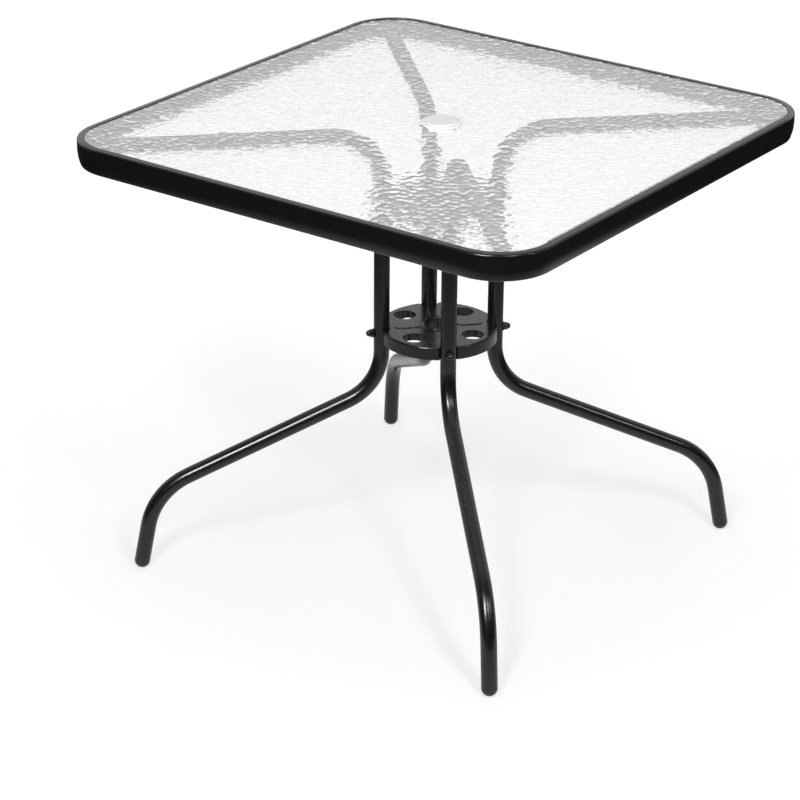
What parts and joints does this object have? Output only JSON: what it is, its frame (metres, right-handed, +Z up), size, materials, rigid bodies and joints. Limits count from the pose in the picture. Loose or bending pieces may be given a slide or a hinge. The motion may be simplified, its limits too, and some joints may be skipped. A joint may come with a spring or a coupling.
{
  "type": "garden table",
  "caption": "Square garden table with a ripple glass top in a black steel tube frame, bent tube legs clamped by pressed discs, and a capped centre hole for a pole.",
  "frame": {"origin": "on the floor under the table's centre", "axes": "+Z up, X and Y along the sides of the top, front towards -Y, and the frame's seam on the +X side"},
  "size_m": [0.8, 0.8, 0.703],
  "materials": {
    "frame_paint": "satin black powder coat",
    "bare_steel": "mill finish, hidden inside tubes",
    "ripple_glass": "clear safety glass, rippled underside",
    "black_rubber": "matt",
    "zinc_steel": "zinc plated",
    "black_hardware": "black",
    "black_plastic": "fine matt",
    "pale_plastic": "pale, slightly cloudy"
  },
  "bodies": {
    "table": {"top_frame": "frame_paint", "frame_joiner": "bare_steel", "glass_top": "ripple_glass", "glass_seals": "black_rubber", "glass_pads": "black_rubber", "upper_disc": "frame_paint", "lower_disc": "frame_paint", "upper_bolts": "zinc_steel", "lower_bolts": "zinc_steel", "upper_washers": "black_hardware", "lower_washers": "black_hardware", "upper_cap_nuts": "black_hardware", "lower_cap_nuts": "black_hardware", "corner_screws": "black_hardware", "hole_ring": "pale_plastic", "leg_front_left": "frame_paint", "foot_cap_front_left": "black_plastic", "corner_spigot_front_left": "bare_steel", "leg_front_right": "frame_paint", "foot_cap_front_right": "black_plastic", "corner_spigot_front_right": "bare_steel", "leg_back_right": "frame_paint", "foot_cap_back_right": "black_plastic", "corner_spigot_back_right": "bare_steel", "leg_back_left": "frame_paint", "foot_cap_back_left": "black_plastic", "corner_spigot_back_left": "bare_steel"},
    "cap": {"hole_cap": "pale_plastic"}
  },
  "joints": [
    {"name": "cap_lift", "type": "slide", "parent": "table", "child": "cap", "axis": [0, 0, 1], "range_m": [0, 0.06]}
  ]
}
